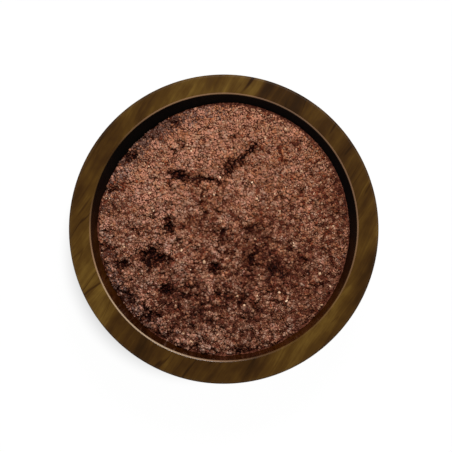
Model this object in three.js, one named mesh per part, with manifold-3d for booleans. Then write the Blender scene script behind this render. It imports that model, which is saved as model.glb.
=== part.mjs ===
// A small turned wooden bowl, filled to just under its rim with a coarse brown spice rub.
//
// Millimetres, +Z up. The origin is the centre of the foot's underside. Seen from above with +X to the
// right, +Y is at the top.

import * as THREE from 'three';
import { mergeVertices } from 'three/addons/utils/BufferGeometryUtils.js';
import Module from 'manifold-3d';

const wasm = await Module();
wasm.setup();

// ---- Driving dimensions of the bowl ----

const BOWL_HEIGHT = 40;
const RIM_RADIUS = 50;
const RIM_EDGE_ROUND = 0.6; // outer corner of the flat rim
const LIP_ROUND = 0.8; // inner corner of the flat rim
const MOUTH_RADIUS = 42.9; // inside of the wall, just under the lip
const FLOOR_THICKNESS = 4.6;
const FOOT_RADIUS = 21.5;
const FOOT_CHAMFER = 0.8;

const BOWL_SIDES = 88;
const OUTER_WALL_STEPS = 7;
const CAVITY_STEPS = 8;

// ---- Driving dimensions of the rub ----

const RUB_GAP = 0.35; // all round, between the rub and the bowl
const RUB_EDGE_LEVEL = 33.2; // height of the rub where it meets the wall
const RUB_DOME = 0.7; // how much higher its middle is
const RUB_RINGS = 28; // ring number k has six times k points
const RUB_SKIRT_SIDES = [88, 72, 60, 48, 36, 24, 12]; // underside rings, from the wall to the middle
const RUB_SKIRT_TOP = 31; // height of the first of them
const WAVES = { height: 0.25, stretchX: 8.2, stretchY: 7.1 };
const COARSE_BUMP = { cell: 4.6, height: 0.38 };
const FINE_BUMP = { cell: 2.3, height: 0.26 };
const COARSENESS = { topRight: 0.55, bottomLeft: 1.15 }; // share of the bumps' height, 50 mm out
const GRAIN_JITTER = 0.2; // random height of each surface point
const GRAIN_SPREAD = 0.3; // random shift of each surface point, as a share of the ring spacing

const SEED = 20;

// How the rub rises or sinks next to the wall: the middle direction in degrees from +X towards +Y, how far
// to each side of it, how high, and from which share of the radius outwards.
const WALL_LEVELS = [
  { towards: 75, spread: 80, rise: 0.8, from: 0.7 },
  { towards: 128, spread: 46, rise: -1.7, from: 0.88 },
  { towards: 218, spread: 32, rise: -1.0, from: 0.82 },
];

// ---- What the two spheres of the bowl share ----
// The cavity and the outside are parts of two spheres with one centre on the bowl's axis.

const MOUTH_HEIGHT = BOWL_HEIGHT - LIP_ROUND;
const CAVITY_DEPTH = MOUTH_HEIGHT - FLOOR_THICKNESS;
const CAVITY_RADIUS = (MOUTH_RADIUS ** 2 + CAVITY_DEPTH ** 2) / (2 * CAVITY_DEPTH);
const SPHERE_HEIGHT = FLOOR_THICKNESS + CAVITY_RADIUS;
const OUTER_RADIUS = Math.hypot(RIM_RADIUS, SPHERE_HEIGHT - (BOWL_HEIGHT - RIM_EDGE_ROUND));

const DEGREE = Math.PI / 180;
const MERGE_DISTANCE = 1e-4; // corners nearer than this are one

// ---- Hollows, grooves and lumps that stand out in the rub ----
// x and y are the centre, long and short the half lengths, turn the direction of the long one.

const HOLLOWS = [
  { x: -23.0, y: -8.9, long: 4.4, short: 3.9, turn: -35, depth: 2.5 },
  { x: -14.6, y: 17.4, long: 5.0, short: 2.1, turn: -16, depth: 1.9 },
  { x: -17.9, y: 1.0, long: 3.4, short: 2.0, turn: 100, depth: 1.8 },
  { x: -36.2, y: 12.9, long: 3.0, short: 1.5, turn: 15, depth: 1.2 },
  { x: -33.4, y: -11.3, long: 3.2, short: 1.5, turn: -5, depth: 1.3 },
  { x: -18.9, y: -19.8, long: 2.4, short: 2.0, turn: 0, depth: 1.3 },
  { x: -2.8, y: -13.0, long: 2.2, short: 1.8, turn: 30, depth: 1.2 },
  { x: 9.0, y: -8.3, long: 2.8, short: 2.0, turn: 15, depth: 1.1 },
  { x: -0.2, y: -1.1, long: 2.2, short: 1.7, turn: -15, depth: 1.1 },
  { x: -30.8, y: 24.0, long: 2.6, short: 1.8, turn: 40, depth: 1.0 },
  { x: -15.7, y: 35.0, long: 3.2, short: 2.0, turn: 20, depth: 0.9 },
  { x: -31.5, y: -21.5, long: 4.0, short: 2.6, turn: -50, depth: 1.0 },
  { x: 17.8, y: -34.0, long: 2.2, short: 1.6, turn: 30, depth: 1.0 },
  { x: -14.0, y: 28.0, long: 2.0, short: 1.6, turn: 0, depth: 0.9 },
];

// Grooves run from one point to another.
const GROOVES = [
  { from: [1.0, 19.9], to: [10.8, 27.0], width: 1.7, depth: 1.5 },
  { from: [-8.6, 16.9], to: [-1.4, 15.4], width: 1.1, depth: 1.0 },
  { from: [-1.4, 15.4], to: [1.0, 19.9], width: 0.9, depth: 0.8 },
  { from: [1.6, -24.6], to: [8.0, -22.0], width: 1.5, depth: 1.1 },
  { from: [-25.0, -25.6], to: [-21.0, -27.8], width: 1.4, depth: 0.8 },
];

const MARKED_LUMPS = [
  { x: -32.4, y: -7.4, radius: 2.3 },
  { x: 13.6, y: -35.0, radius: 1.9 },
  { x: -1.7, y: -35.4, radius: 1.8 },
  { x: -10.9, y: -16.9, radius: 1.7 },
  { x: 6.0, y: -17.6, radius: 1.9 },
];

// The other lumps are drawn at random, the largest first.
const LUMP_COUNT = 58;
const LARGEST_LUMP = 1.6;
const SMALLEST_LUMP = 0.9;
const LUMP_FLATNESS = 0.72; // height of a lump against its width
const LUMP_ROUGHNESS = 0.16; // random share of the radius at each corner
const NARROWEST_LUMP = 0.75; // width of the narrowest lumps against their length
const LUMP_SPACING = 1.3; // least distance between two middles, as a share of the two radii
const LUMP_WALL_ROOM = 1.2; // between a lump and the wall
const FINE_LUMP_RADIUS = 1.5; // lumps larger than this get more faces
const JOIN_TOLERANCE = 0.04; // slivers under this width, left where lumps cross the surface, are closed up

// ---- Random numbers ----

function seededRandom(seed) {
  let state = seed >>> 0;
  return () => {
    state = (state + 0x6d2b79f5) >>> 0;
    let t = Math.imul(state ^ (state >>> 15), 1 | state);
    t = (t + Math.imul(t ^ (t >>> 7), 61 | t)) ^ t;
    return ((t ^ (t >>> 14)) >>> 0) / 2 ** 32;
  };
}

// One random number from -1 to 1 for each corner of a square grid.
function cornerValue(column, row, seed) {
  let h = Math.imul(column, 374761393) ^ Math.imul(row, 668265263) ^ Math.imul(seed, 1274126177);
  h = Math.imul(h ^ (h >>> 13), 1274126177);
  return 2 * (((h ^ (h >>> 16)) >>> 0) / 2 ** 32) - 1;
}

// Smooth random heights from -1 to 1, on a grid of the given cell size.
function smoothNoise(x, y, cell, seed) {
  const column = Math.floor(x / cell);
  const row = Math.floor(y / cell);
  const u = THREE.MathUtils.smoothstep(x / cell - column, 0, 1);
  const v = THREE.MathUtils.smoothstep(y / cell - row, 0, 1);
  const corner = (right, up) => cornerValue(column + right, row + up, seed);
  const low = THREE.MathUtils.lerp(corner(0, 0), corner(1, 0), u);
  const high = THREE.MathUtils.lerp(corner(0, 1), corner(1, 1), u);
  return THREE.MathUtils.lerp(low, high, v);
}

// ---- Shared geometry helpers ----

// Points of an arc round (radial, height), from one angle to another. Angle 0 points outwards and 90 up.
function arcPoints(radial, height, radius, fromDegrees, toDegrees, steps) {
  return Array.from({ length: steps + 1 }, (_, i) => {
    const angle = THREE.MathUtils.lerp(fromDegrees, toDegrees, i / steps) * DEGREE;
    return new THREE.Vector2(radial + radius * Math.cos(angle), height + radius * Math.sin(angle));
  });
}

function latheUpright(profile, sides) {
  return new THREE.LatheGeometry(profile, sides).rotateX(Math.PI / 2);
}

// Triangles between two closed rings of points, which may have different numbers of points. Both rings
// start at the same angle and turn the same way. A ring of one point is a tip with no steps of its own.
function stitchRings(inner, outer, triangles) {
  const innerSteps = inner.length > 1 ? inner.length : 0;
  const outerSteps = outer.length > 1 ? outer.length : 0;
  let i = 0;
  let j = 0;
  while (i < innerSteps || j < outerSteps) {
    const innerHere = inner[i % inner.length];
    const outerHere = outer[j % outer.length];
    const innerIsBehind = (i + 1) / innerSteps < (j + 1) / outerSteps;
    if (j >= outerSteps || (i < innerSteps && innerIsBehind)) {
      i += 1;
      triangles.push(innerHere, outerHere, inner[i % inner.length]);
    } else {
      j += 1;
      triangles.push(innerHere, outerHere, outer[j % outer.length]);
    }
  }
}

function toManifold(geometry) {
  const bare = geometry.clone();
  bare.deleteAttribute('normal');
  bare.deleteAttribute('uv');
  const merged = mergeVertices(bare, MERGE_DISTANCE);
  return new wasm.Manifold(
    new wasm.Mesh({
      numProp: 3,
      vertProperties: new Float32Array(merged.attributes.position.array),
      triVerts: new Uint32Array(merged.index.array),
    }),
  );
}

function toGeometry(solid) {
  const mesh = solid.getMesh();
  const geometry = new THREE.BufferGeometry();
  geometry.setAttribute('position', new THREE.BufferAttribute(mesh.vertProperties, 3));
  geometry.setIndex(new THREE.BufferAttribute(mesh.triVerts, 1));
  geometry.computeVertexNormals();
  return geometry;
}

// ---- The bowl ----

function bowlProfile() {
  const edgeHeight = BOWL_HEIGHT - RIM_EDGE_ROUND;
  const footAngle = -Math.acos(FOOT_RADIUS / OUTER_RADIUS) / DEGREE;
  const rimAngle = -Math.acos(RIM_RADIUS / OUTER_RADIUS) / DEGREE;
  const mouthAngle = -Math.acos(MOUTH_RADIUS / CAVITY_RADIUS) / DEGREE;
  return [
    new THREE.Vector2(0, 0),
    new THREE.Vector2(FOOT_RADIUS - FOOT_CHAMFER, 0),
    new THREE.Vector2(FOOT_RADIUS, FOOT_CHAMFER),
    ...arcPoints(0, SPHERE_HEIGHT, OUTER_RADIUS, footAngle, rimAngle, OUTER_WALL_STEPS),
    ...arcPoints(RIM_RADIUS - RIM_EDGE_ROUND, edgeHeight, RIM_EDGE_ROUND, 0, 90, 2).slice(1),
    ...arcPoints(MOUTH_RADIUS + LIP_ROUND, MOUTH_HEIGHT, LIP_ROUND, 90, 180, 3),
    ...arcPoints(0, SPHERE_HEIGHT, CAVITY_RADIUS, mouthAngle, -90, CAVITY_STEPS).slice(1, -1),
    new THREE.Vector2(0, FLOOR_THICKNESS),
  ];
}

function bowlGeometry() {
  return latheUpright(bowlProfile(), BOWL_SIDES);
}

// ---- The rub ----

// The radius that the rub may fill at a height, a gap inside the cavity.
function rubRadiusAt(height) {
  return Math.sqrt((CAVITY_RADIUS - RUB_GAP) ** 2 - (SPHERE_HEIGHT - height) ** 2);
}

// How deep a hollow is at a point: full at its centre, and none just past its half lengths.
function hollowDepth(hollow, x, y) {
  const cos = Math.cos(hollow.turn * DEGREE);
  const sin = Math.sin(hollow.turn * DEGREE);
  const along = ((x - hollow.x) * cos + (y - hollow.y) * sin) / hollow.long;
  const across = ((y - hollow.y) * cos - (x - hollow.x) * sin) / hollow.short;
  return hollow.depth * Math.exp(-1.4 * (along ** 2 + across ** 2) ** 1.5);
}

// How deep a groove is at a point, from its distance to the line between the groove's ends.
function grooveDepth(groove, x, y) {
  const [x0, y0] = groove.from;
  const runX = groove.to[0] - x0;
  const runY = groove.to[1] - y0;
  const share = ((x - x0) * runX + (y - y0) * runY) / (runX ** 2 + runY ** 2);
  const nearest = THREE.MathUtils.clamp(share, 0, 1);
  const distance = Math.hypot(x - x0 - nearest * runX, y - y0 - nearest * runY);
  return groove.depth * Math.exp(-((distance / groove.width) ** 2));
}

// How much the rub rises next to the wall, at a point that is the given share of the way out to it.
function wallRise(x, y, share) {
  const direction = Math.atan2(y, x) / DEGREE;
  return WALL_LEVELS.reduce((sum, level) => {
    const turn = Math.abs(THREE.MathUtils.euclideanModulo(direction - level.towards + 180, 360) - 180);
    const facing = THREE.MathUtils.smoothstep(1 - turn / level.spread, 0, 1);
    return sum + level.rise * facing * THREE.MathUtils.smoothstep(share, level.from, 1);
  }, 0);
}

// Height of the rub's surface: a low dome that rises or sinks next to the wall, slow waves, small bumps
// that grow coarser towards the bottom left, and the hollows and grooves.
function rubHeight(x, y) {
  const radius = Math.hypot(x, y);
  const share = Math.min(radius / rubRadiusAt(RUB_EDGE_LEVEL), 1);
  const dome = RUB_DOME * (1 - share ** 2);
  const waves = WAVES.height * Math.sin(x / WAVES.stretchX + 0.7) * Math.cos(y / WAVES.stretchY - 0.5);
  const downLeft = (RIM_RADIUS - x - y) / (2 * RIM_RADIUS);
  const coarseness = THREE.MathUtils.lerp(COARSENESS.topRight, COARSENESS.bottomLeft, downLeft);
  const coarseBump = COARSE_BUMP.height * smoothNoise(x, y, COARSE_BUMP.cell, SEED);
  const fineBump = FINE_BUMP.height * smoothNoise(x, y, FINE_BUMP.cell, SEED + 1);
  const bumps = coarseness * (coarseBump + fineBump);
  const hollows = HOLLOWS.reduce((sum, hollow) => sum + hollowDepth(hollow, x, y), 0);
  const grooves = Math.max(...GROOVES.map((groove) => grooveDepth(groove, x, y)));
  return RUB_EDGE_LEVEL + dome + wallRise(x, y, share) + waves + bumps - hollows - grooves;
}

// The points of the surface, ring by ring from the middle to the wall.
function rubSurfaceRings(random) {
  const usualRadius = rubRadiusAt(RUB_EDGE_LEVEL);
  const evenly = () => 2 * random() - 1;
  return Array.from({ length: RUB_RINGS }, (_, ring) => {
    const k = ring + 1;
    const looseness = k === RUB_RINGS ? 0 : 1; // the ring at the wall stays true
    const spread = (looseness * GRAIN_SPREAD * usualRadius) / RUB_RINGS;
    return Array.from({ length: 6 * k }, (_, i) => {
      const angle = (2 * Math.PI * i) / (6 * k);
      const wallHeight = rubHeight(usualRadius * Math.cos(angle), usualRadius * Math.sin(angle));
      const radius = (rubRadiusAt(wallHeight) * k) / RUB_RINGS;
      const x = radius * Math.cos(angle) + spread * evenly();
      const y = radius * Math.sin(angle) + spread * evenly();
      return new THREE.Vector3(x, y, rubHeight(x, y) + looseness * GRAIN_JITTER * evenly());
    });
  });
}

// The rings of the underside, which follows the cavity from the wall down to the middle.
function rubUndersideRings() {
  const radius = CAVITY_RADIUS - RUB_GAP;
  const topAngle = Math.asin((RUB_SKIRT_TOP - SPHERE_HEIGHT) / radius);
  return RUB_SKIRT_SIDES.map((sides, j) => {
    const angle = THREE.MathUtils.lerp(topAngle, -Math.PI / 2, j / RUB_SKIRT_SIDES.length);
    const ringRadius = radius * Math.cos(angle);
    const height = SPHERE_HEIGHT + radius * Math.sin(angle);
    return Array.from({ length: sides }, (_, i) => {
      const turn = (2 * Math.PI * i) / sides;
      return new THREE.Vector3(ringRadius * Math.cos(turn), ringRadius * Math.sin(turn), height);
    });
  });
}

// The rub as one closed skin: the uneven surface, and the underside a gap inside the cavity.
function rubCore(random) {
  const surfaceMiddle = new THREE.Vector3(0, 0, rubHeight(0, 0));
  const undersideMiddle = new THREE.Vector3(0, 0, FLOOR_THICKNESS + RUB_GAP);
  const rings = [[surfaceMiddle], ...rubSurfaceRings(random), ...rubUndersideRings(), [undersideMiddle]];
  const triangles = [];
  let first = 0;
  const numbered = rings.map((ring) => {
    const numbers = ring.map((_, i) => first + i);
    first += ring.length;
    return numbers;
  });
  for (let k = 0; k + 1 < numbered.length; k += 1) {
    stitchRings(numbered[k], numbered[k + 1], triangles);
  }
  const geometry = new THREE.BufferGeometry().setFromPoints(rings.flat());
  geometry.setIndex(triangles);
  return toManifold(geometry);
}

// An uneven flattened lump that sits half sunk in the surface.
function lumpSolid({ x, y, radius }, random) {
  const ball = new THREE.IcosahedronGeometry(radius, radius > FINE_LUMP_RADIUS ? 1 : 0);
  ball.deleteAttribute('normal');
  ball.deleteAttribute('uv');
  const lump = mergeVertices(ball, MERGE_DISTANCE);
  const position = lump.attributes.position;
  const corner = new THREE.Vector3();
  for (let i = 0; i < position.count; i += 1) {
    corner.fromBufferAttribute(position, i).multiplyScalar(1 + LUMP_ROUGHNESS * (2 * random() - 1));
    position.setXYZ(i, ...corner);
  }
  lump.rotateX(Math.PI * random());
  lump.rotateZ(Math.PI * random());
  lump.scale(1, THREE.MathUtils.lerp(NARROWEST_LUMP, 1, random()), LUMP_FLATNESS);
  lump.rotateZ(Math.PI * random());
  lump.translate(x, y, rubHeight(x, y));
  return toManifold(lump);
}

// Places of the lumps: the marked ones, then random ones that keep clear of the wall and of each other.
function lumpPlaces(random) {
  const places = [...MARKED_LUMPS];
  const wallRadius = rubRadiusAt(RUB_EDGE_LEVEL);
  for (let n = 0; n < LUMP_COUNT; n += 1) {
    const radius = THREE.MathUtils.lerp(LARGEST_LUMP, SMALLEST_LUMP, n / (LUMP_COUNT - 1));
    const reach = wallRadius - radius - LUMP_WALL_ROOM;
    const isFree = (x, y) =>
      places.every((p) => Math.hypot(x - p.x, y - p.y) > LUMP_SPACING * (radius + p.radius));
    let x;
    let y;
    do {
      const angle = 2 * Math.PI * random();
      const distance = reach * Math.sqrt(random());
      x = distance * Math.cos(angle);
      y = distance * Math.sin(angle);
    } while (!isFree(x, y));
    places.push({ x, y, radius });
  }
  return places;
}

function rubGeometry() {
  const random = seededRandom(SEED);
  const core = rubCore(random);
  const lumps = lumpPlaces(random).map((place) => lumpSolid(place, random));
  return toGeometry(wasm.Manifold.union([core, ...lumps]).simplify(JOIN_TOLERANCE));
}

// ---- Materials and the finished object ----

const darkWood = new THREE.MeshStandardMaterial({ color: 0x422d11, roughness: 0.45, metalness: 0 });
const brownRub = new THREE.MeshStandardMaterial({ color: 0x6a4333, roughness: 0.9, metalness: 0 });

function namedMesh(name, geometry, material) {
  const mesh = new THREE.Mesh(geometry, material);
  mesh.name = name;
  return mesh;
}

const filledBowl = new THREE.Group();
filledBowl.add(namedMesh('bowl', bowlGeometry(), darkWood));
filledBowl.add(namedMesh('spice_rub', rubGeometry(), brownRub));

export default filledBowl;
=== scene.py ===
"""A small turned wooden bowl of coarse brown spice rub, seen from straight above.

Metres, +Z up. Seen from above with +X to the right, +Y is at the top. Named sizes and the tables of places
are in millimetres unless a comment says otherwise, and MM turns them into metres.
"""

import math
import random

import bpy
import numpy as np
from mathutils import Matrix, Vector


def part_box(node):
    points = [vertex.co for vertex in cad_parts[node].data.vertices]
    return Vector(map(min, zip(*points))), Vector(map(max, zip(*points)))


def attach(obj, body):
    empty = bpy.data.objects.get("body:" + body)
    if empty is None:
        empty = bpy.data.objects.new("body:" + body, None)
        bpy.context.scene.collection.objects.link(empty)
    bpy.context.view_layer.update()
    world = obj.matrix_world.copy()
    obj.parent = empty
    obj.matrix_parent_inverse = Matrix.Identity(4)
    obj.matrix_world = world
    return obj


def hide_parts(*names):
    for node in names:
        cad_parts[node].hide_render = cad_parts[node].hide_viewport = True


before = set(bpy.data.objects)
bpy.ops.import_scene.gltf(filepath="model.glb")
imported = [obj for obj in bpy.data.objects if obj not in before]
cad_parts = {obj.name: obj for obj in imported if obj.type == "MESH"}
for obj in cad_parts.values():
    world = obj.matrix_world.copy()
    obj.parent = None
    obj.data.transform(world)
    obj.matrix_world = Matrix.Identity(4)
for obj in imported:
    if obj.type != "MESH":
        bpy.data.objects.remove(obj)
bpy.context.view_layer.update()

MM = 0.001
FULL_TURN = 6.283  # radians
SEED = 20

# ---- Sizes of the bowl, from its solid ----

BOWL_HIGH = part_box("bowl")[1]
RIM_RADIUS = BOWL_HIGH.x / MM
BOWL_HEIGHT = BOWL_HIGH.z / MM
RIM_EDGE_ROUND = 0.6  # outer corner of the flat rim
LIP_ROUND = 0.8  # inner corner of the flat rim
MOUTH_RADIUS = 42.9  # inside of the wall, just under the lip
FLOOR_THICKNESS = 4.6
FOOT_RADIUS = 21.5
FOOT_CHAMFER = 0.8
BOWL_SIDES = 256
# Points of the section's straight parts, and steps of its arcs.
PROFILE_STEPS = {"foot": 8, "chamfer": 5, "outside": 30, "edge": 6, "flat": 8, "lip": 8, "cavity": 34}
EDGE_LOOP = 0.06  # width of the strip that keeps the flat rim's shading flat next to its rounded corners
MOUTH_SHIFT = (0.04, 0.55)  # of the lip, from the bowl's middle
MOUTH_SHIFT_FROM = 33.5  # height at which the cavity starts to lean towards the shifted lip
MERGE_DISTANCE = 0.002  # closes the seam and the two poles

MOUTH_HEIGHT = BOWL_HEIGHT - LIP_ROUND
CAVITY_DEPTH = MOUTH_HEIGHT - FLOOR_THICKNESS
CAVITY_RADIUS = (MOUTH_RADIUS**2 + CAVITY_DEPTH**2) / (2 * CAVITY_DEPTH)
SPHERE_HEIGHT = FLOOR_THICKNESS + CAVITY_RADIUS
OUTER_RADIUS = math.hypot(RIM_RADIUS, SPHERE_HEIGHT - (BOWL_HEIGHT - RIM_EDGE_ROUND))

# ---- Sizes of the rub ----

RUB_GAP = 0.1  # between the heap and the wall
RUB_EDGE_LEVEL = 33.2
RUB_DOME = 0.7
# How the rub rises or sinks next to the wall: the middle direction in degrees from +X towards +Y, how far to
# each side of it, how high, and from which share of the radius outwards.
WALL_LEVELS = (
    (75, 80, 1.2, 0.7),
    (128, 46, -1.7, 0.88),
    (218, 32, -1.0, 0.82),
)
WAVES = {"height": 0.25, "stretch_x": 8.2, "stretch_y": 7.1}
COARSE_BUMP = {"cell": 4.6, "height": 0.38}
FINE_BUMP = {"cell": 2.3, "height": 0.26}
COARSENESS = {"top_right": 0.55, "bottom_left": 1.15}  # by which bumps and clods are multiplied
HEAP_RINGS = 150
RING_STEP = 6  # how many more points each ring has than the one inside it
POINT_WANDER = 0.3  # how far a point strays from its ring, as a share of the rings' distance
UNDERSIDE_SIDES = (288, 192, 144, 96, 72, 48, 24, 12)
UNDERSIDE_TOP = 31.0  # height of the underside's highest ring
UNDERSIDE_ON_MAP = 0.25  # how wide the underside is drawn on its map, as a share of its height

# Hollows: centre, half lengths along and across, direction of the long one in degrees, depth.
HOLLOWS = (
    (-23.0, -8.9, 4.4, 3.9, -35, 2.5),
    (-14.6, 17.4, 5.0, 2.1, -16, 1.9),
    (-17.9, 1.0, 3.4, 2.0, 100, 1.8),
    (-36.2, 12.9, 3.0, 1.5, 15, 1.2),
    (-33.4, -11.3, 3.2, 1.5, -5, 1.3),
    (-18.9, -19.8, 2.4, 2.0, 0, 1.3),
    (-2.8, -13.0, 2.2, 1.8, 30, 1.2),
    (9.0, -8.3, 2.8, 2.0, 15, 1.1),
    (-0.2, -1.1, 2.2, 1.7, -15, 1.1),
    (-30.8, 24.0, 2.6, 1.8, 40, 1.0),
    (-15.7, 35.0, 3.2, 2.0, 20, 0.9),
    (-31.5, -21.5, 4.0, 2.6, -50, 0.4),
    (17.8, -34.0, 2.2, 1.6, 30, 0.3),
    (-14.0, 28.0, 2.0, 1.6, 0, 0.9),
)
HOLLOW_FALL = 1.4  # how fast a hollow's side falls
HOLLOW_RAGGEDNESS = {"cell": 1.5, "reach": 0.75}  # how far the edges of hollows wander
HOLLOW_STEEPNESS = 1.35  # how much deeper the hollows are between loose grains than in the solid
# Grooves: both ends, half width, depth.
GROOVES = (
    ((1.0, 19.9), (10.8, 27.0), 1.7, 1.3),
    ((-8.6, 16.9), (-1.4, 15.4), 1.1, 1.0),
    ((-1.4, 15.4), (1.0, 19.9), 0.9, 0.8),
    ((1.6, -24.6), (8.0, -22.0), 1.5, 0.5),
    ((-25.0, -25.6), (-21.0, -27.8), 1.4, 0.8),
)
# Lumps that stand out: centre and radius.
MARKED_LUMPS = (
    (-32.4, -7.4, 2.3),
    (13.6, -35.0, 1.9),
    (-1.7, -35.4, 1.8),
    (-10.9, -16.9, 1.7),
    (6.0, -17.6, 1.9),
)
LUMP_COUNT = 150
LUMP_RADII = (0.7, 1.6)
LUMP_SIZE_FALL = 0.6  # below 1, small lumps outnumber large ones
LUMP_WALL_ROOM = 1.0
LUMP_SPACING = 0.9  # least distance between two middles, as a share of the sum of their radii
LUMP_SHARES = {"top_right": 0.25, "bottom_left": 1.0}  # chance that a random place gets its lump
LUMP_FLATNESS = 0.75
LUMP_FORMS = ((0.8, 0.8, 0.9), (1.1, 1.1, 1.05))  # least and most stretch along each axis
LUMP_ROUGHNESS = {"scale": 520.0, "in": -0.55, "out": 0.45}
# Strips of greyish dark grains along the wall, as painted shade: direction, how far to each side, largest
# share, where they start.
WALL_SHADE_STRIPS = (
    (128, 56, 0.9, 0.83),
    (214, 44, 0.6, 0.84),
    (0, 30, 0.3, 0.9),
)
WALL_SHADE_EDGE = 0.12  # share of the radius over which a strip sets in
MOST_WALL_SHADE = 0.9
# Large soft patches where the rub is darker: centre, reach, how much darker. Paler ones are below 0.
DARKER_PATCHES = (
    (12.0, -9.0, 7.0, 0.32),
    (20.0, -16.5, 5.5, 0.18),
    (-15.7, -23.0, 6.5, 0.24),
    (-7.5, -23.5, 4.5, 0.14),
    (-2.0, -30.0, 7.0, 0.10),
    (3.0, -31.5, 4.5, 0.18),
    (-36.5, -8.5, 5.0, 0.20),
    (-36.5, 8.0, 5.0, 0.20),
    (-10.5, 1.5, 4.2, 0.36),
    (-2.5, 9.0, 4.5, 0.24),
    (-4.8, -7.5, 4.5, 0.14),
    (-11.0, -14.5, 4.0, 0.14),
    (13.3, 7.3, 4.5, 0.14),
    (-20.5, 30.0, 6.0, 0.11),
    (-16.0, 23.5, 5.0, -0.10),
    (21.5, 27.5, 5.0, 0.14),
    (36.5, 9.5, 6.0, 0.30),
    (-21.5, 8.0, 6.0, -0.32),
    (0.0, 38.0, 7.0, -0.06),
    (17.0, 14.5, 5.0, -0.12),
    (29.0, 0.5, 5.0, -0.10),
    (-14.5, -8.0, 5.0, -0.10),
    (18.5, -31.0, 5.5, -0.22),
    (9.8, -23.0, 4.0, -0.12),
    (-2.0, -38.5, 8.0, -0.24),
    (-28.0, -26.5, 6.0, -0.22),
    (29.5, -10.5, 4.0, 0.14),
    (15.5, 25.0, 4.5, 0.10),
    (1.5, -15.0, 4.0, 0.12),
)


# ---- Node helpers ----


def wire(tree, socket, value):
    """Links value to the socket if it comes from another node, and sets it there otherwise."""
    if isinstance(value, bpy.types.NodeSocket):
        tree.links.new(value, socket)
    else:
        socket.default_value = value


def add_node(tree, kind, inputs=None, **settings):
    """A new node with its settings and its inputs, which are values or other nodes' sockets."""
    node = tree.nodes.new(kind)
    for name, value in settings.items():
        setattr(node, name, value)
    for name, value in (inputs or {}).items():
        wire(tree, node.inputs[name], value)
    return node


def maths(tree, operation, *values, clamp=False):
    node = add_node(tree, "ShaderNodeMath", operation=operation, use_clamp=clamp)
    for socket, value in zip(node.inputs, values):
        wire(tree, socket, value)
    return node.outputs[0]


def vector_maths(tree, operation, first, second):
    return add_node(tree, "ShaderNodeVectorMath", {0: first, 1: second}, operation=operation).outputs[0]


def scaled(tree, vector, factor):
    return add_node(tree, "ShaderNodeVectorMath", {0: vector, "Scale": factor}, operation="SCALE").outputs[0]


def length(tree, vector):
    return add_node(tree, "ShaderNodeVectorMath", {0: vector}, operation="LENGTH").outputs["Value"]


def split(tree, vector):
    return add_node(tree, "ShaderNodeSeparateXYZ", {"Vector": vector}).outputs


def combine(tree, x, y, z):
    return add_node(tree, "ShaderNodeCombineXYZ", {"X": x, "Y": y, "Z": z}).outputs[0]


def map_range(tree, value, from_low, from_high, to_low, to_high, kind="SMOOTHSTEP"):
    """A number taken from one range to another and kept inside it, with soft ends unless kind is LINEAR."""
    inputs = {0: value, 1: from_low, 2: from_high, 3: to_low, 4: to_high}
    return add_node(tree, "ShaderNodeMapRange", inputs, interpolation_type=kind).outputs[0]


def noise(tree, vector, scale, detail, roughness=0.5):
    inputs = {"Vector": vector, "Scale": scale, "Detail": detail, "Roughness": roughness}
    return add_node(tree, "ShaderNodeTexNoise", inputs).outputs["Fac"]


def spread_noise(tree, value, low, high):
    """Noise, most of which lies between 0.3 and 0.7, drawn out between two other numbers."""
    return map_range(tree, value, 0.3, 0.7, low, high, "LINEAR")


def srgb(red, green, blue):
    """A colour read off as 0 to 255, as the linear colour that a node takes."""
    shares = [part / 255 for part in (red, green, blue)]
    linear = [share / 12.92 if share <= 0.04045 else ((share + 0.055) / 1.055) ** 2.4 for share in shares]
    return (*linear, 1.0)


def colour_ramp(tree, factor, stops):
    """A colour ramp of (place, colour) stops."""
    node = add_node(tree, "ShaderNodeValToRGB", {"Fac": factor})
    elements = node.color_ramp.elements
    while len(elements) < len(stops):
        elements.new(0.5)
    for element, (place, colour) in zip(elements, stops):
        element.position = place
        element.color = colour
    return node.outputs["Color"]


def value_ramp(tree, factor, stops):
    """A ramp of (place, number) stops."""
    return colour_ramp(tree, factor, [(place, (value, value, value, 1.0)) for place, value in stops])


def mix_colours(tree, factor, first, second, blend="MIX"):
    inputs = {"Factor": factor, 6: first, 7: second}
    return add_node(tree, "ShaderNodeMix", inputs, data_type="RGBA", blend_type=blend).outputs[2]


def new_geometry_tree(name, sockets):
    """A geometry node tree with a Geometry input and output, and the named inputs in sockets."""
    tree = bpy.data.node_groups.new(name, "GeometryNodeTree")
    tree.interface.new_socket("Geometry", in_out="INPUT", socket_type="NodeSocketGeometry")
    for label, kind in sockets.items():
        tree.interface.new_socket(label, in_out="INPUT", socket_type="NodeSocket" + kind)
    tree.interface.new_socket("Geometry", in_out="OUTPUT", socket_type="NodeSocketGeometry")
    return tree, tree.nodes.new("NodeGroupInput").outputs


def position_field(tree):
    return add_node(tree, "GeometryNodeInputPosition").outputs[0]


def named_field(tree, name, kind="FLOAT"):
    return add_node(tree, "GeometryNodeInputNamedAttribute", {"Name": name}, data_type=kind).outputs[0]


def random_value(tree, kind, low, high, seed):
    """A random value for each point, by its number and the seed."""
    node = add_node(tree, "FunctionNodeRandomValue", {"Seed": seed}, data_type=kind)
    socket, result = {"FLOAT_VECTOR": (0, 0), "FLOAT": (2, 1), "INT": (4, 2)}[kind]
    wire(tree, node.inputs[socket], low)
    wire(tree, node.inputs[socket + 1], high)
    return node.outputs[result]


def store(tree, geometry, name, value, kind="FLOAT", domain="POINT"):
    """Stores a named attribute."""
    inputs = {"Geometry": geometry, "Name": name, "Value": value}
    node = add_node(tree, "GeometryNodeStoreNamedAttribute", inputs, data_type=kind, domain=domain)
    return node.outputs[0]


def moved(tree, geometry, offset):
    return add_node(tree, "GeometryNodeSetPosition", {"Geometry": geometry, "Offset": offset}).outputs[0]


def placed_at(tree, geometry, place):
    return add_node(tree, "GeometryNodeSetPosition", {"Geometry": geometry, "Position": place}).outputs[0]


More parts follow.
